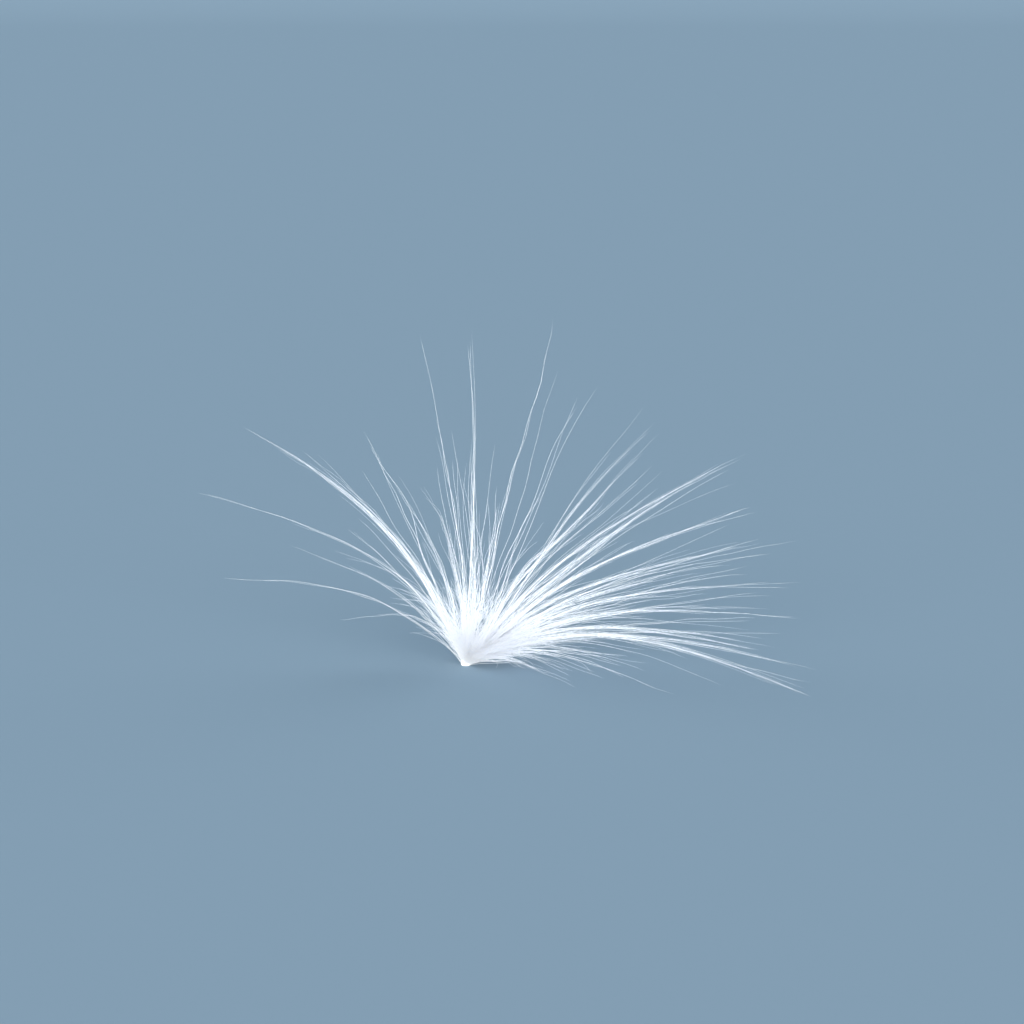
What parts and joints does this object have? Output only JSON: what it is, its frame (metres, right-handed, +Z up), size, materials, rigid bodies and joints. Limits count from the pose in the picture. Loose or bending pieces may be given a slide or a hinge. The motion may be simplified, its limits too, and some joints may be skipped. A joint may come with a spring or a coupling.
{
  "type": "milkweed silk tuft",
  "caption": "Silky white parachute of a milkweed seed, its seed dropped off: fine hairs in locks that fan from a small root and rest on it and on their drooping tips.",
  "frame": {"origin": "middle of the root's flat end, which rests on the surface at Z = 0", "axes": "+Z up, +X towards the fullest side of the fan of hairs, -Y towards the viewer of the picture"},
  "size_m": [0.0638, 0.0571, 0.0343],
  "materials": {
    "silk": "silky, shining white floss"
  },
  "bodies": {
    "root": {"silk_tuft": "silk"}
  },
  "joints": []
}
